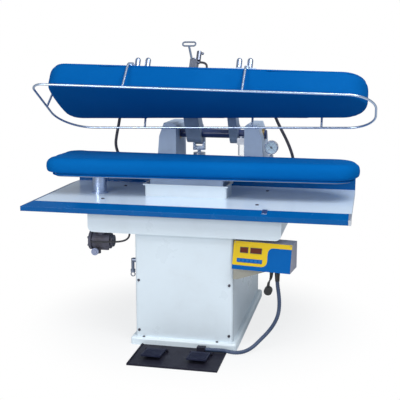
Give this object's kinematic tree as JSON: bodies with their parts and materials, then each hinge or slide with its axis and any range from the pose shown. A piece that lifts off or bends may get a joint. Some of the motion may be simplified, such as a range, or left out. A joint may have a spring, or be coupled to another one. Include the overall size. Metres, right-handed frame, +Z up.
{
  "type": "laundry press",
  "caption": "Floor-standing laundry press: a padded head on sprung levers swings down on a long padded buck over a table, worked by foot pedals and an air cylinder.",
  "frame": {"origin": "on the floor under the middle of the cabinet", "axes": "+X across the front to the operator's right, +Y to the back, +Z up"},
  "size_m": [1.658, 1.1662, 1.4459],
  "materials": {
    "white_enamel": "satin enamel",
    "plinth_enamel": "satin enamel",
    "frame_enamel": "satin enamel",
    "shaft_enamel": "gloss enamel",
    "table_laminate": "white laminate",
    "blue_edge": "gloss",
    "blue_cloth": "smooth press cloth",
    "bright_steel": "brushed",
    "chrome": "polished",
    "aluminium": "cast",
    "brass": "turned",
    "valve_metal": "satin",
    "hose_rubber": "matt",
    "hose_wrap": "spiral wrapped",
    "air_tube_blue": "smooth",
    "dial_face": "matt",
    "needle_black": "matt",
    "clear_glass": "clear",
    "box_enamel": "satin enamel",
    "panel_yellow": "gloss",
    "display_red": "gloss",
    "gland_black": "matt",
    "bracket_beige": "satin enamel",
    "pedal_black": "matt",
    "trap_iron": "rough",
    "motor_grey": "matt"
  },
  "bodies": {
    "frame": {"cabinet_shell": "white_enamel", "front_panel": "white_enamel", "rear_panel": "white_enamel", "chassis_box": "white_enamel", "buck_duct": "white_enamel", "base_plinth": "plinth_enamel", "left_upright": "frame_enamel", "right_upright": "frame_enamel", "table_top": "table_laminate", "table_trim": "blue_edge", "rear_upstand": "blue_edge", "buck_pad": "blue_cloth", "buck_plate": "bright_steel", "panel_screws": "bright_steel", "upright_bolts": "bright_steel", "buck_post": "chrome", "drain_cock": "chrome", "buck_neck": "aluminium", "air_cylinder": "aluminium", "filter_head": "aluminium", "deck_unions": "brass", "shaft_bushes": "brass", "gauge_case": "valve_metal", "left_hose": "hose_rubber", "right_hose": "hose_rubber", "plug_lead": "hose_rubber", "trap_lead": "hose_rubber", "pedal_hose": "hose_wrap", "air_tube": "air_tube_blue", "gauge_dial": "dial_face", "gauge_glass": "clear_glass", "filter_bowl": "clear_glass", "control_case": "box_enamel", "control_panel": "panel_yellow", "display_windows": "display_red", "cable_glands": "gland_black", "mains_plug": "gland_black", "control_bracket": "bracket_beige", "pedal_plate": "pedal_black", "trap_body": "trap_iron", "vacuum_unit": "motor_grey"},
    "head": {"head_cover": "blue_cloth", "head_platen": "aluminium", "head_lid": "bright_steel", "main_lever": "frame_enamel", "side_lever": "frame_enamel", "main_shaft": "shaft_enamel", "head_yoke": "frame_enamel", "yoke_studs": "bright_steel", "guard_rail": "chrome", "rail_stays": "chrome", "steam_valve": "valve_metal", "head_unions": "brass", "valve_hose": "hose_rubber"},
    "piston": {"piston_rod": "chrome"},
    "left_pedal": {"left_pedal": "gland_black"},
    "right_pedal": {"right_pedal": "gland_black"},
    "steam_lever": {"steam_lever": "chrome"},
    "needle": {"gauge_needle": "needle_black"},
    "trap_knob": {"trap_knob": "aluminium"}
  },
  "joints": [
    {"name": "head_swing", "type": "hinge", "parent": "frame", "child": "head", "pos_m": [0, 0.31, 0.952], "axis": [1, 0, 0], "range_deg": [0, 31.5], "stiffness_Nm_per_rad": 150, "springref_deg": -131.78, "deforming": ["left_hose", "right_hose"]},
    {"name": "rod_slide", "type": "slide", "parent": "frame", "child": "piston", "axis": [0, 0, 1], "range_m": [0, 0.06081]},
    {"name": "left_pedal_press", "type": "hinge", "parent": "frame", "child": "left_pedal", "pos_m": [-0.106, -0.5325, 0.014], "axis": [1, 0, 0], "range_deg": [0, 7.5], "stiffness_Nm_per_rad": 30, "springref_deg": -6.88},
    {"name": "right_pedal_press", "type": "hinge", "parent": "frame", "child": "right_pedal", "pos_m": [0.108, -0.5325, 0.014], "axis": [1, 0, 0], "range_deg": [0, 7.5], "stiffness_Nm_per_rad": 30, "springref_deg": -6.88},
    {"name": "steam_lever_turn", "type": "hinge", "parent": "head", "child": "steam_lever", "pos_m": [-0.0325, -0.068, 1.32942], "axis": [0, 0.8526, -0.5225], "range_deg": [-45, 0]},
    {"name": "needle_turn", "type": "hinge", "parent": "frame", "child": "needle", "pos_m": [0.331, 0.1875, 0.897], "axis": [0, 1, 0], "range_deg": [-85, 185]},
    {"name": "trap_knob_turn", "type": "hinge", "parent": "frame", "child": "trap_knob", "pos_m": [-0.45, -0.3985, 0.439], "axis": [0, 1, 0], "range_deg": [0, 270]}
  ],
  "couplings": [
    {"joint": "rod_slide", "follows": "head_swing", "m_per_rad": 0.11043}
  ]
}
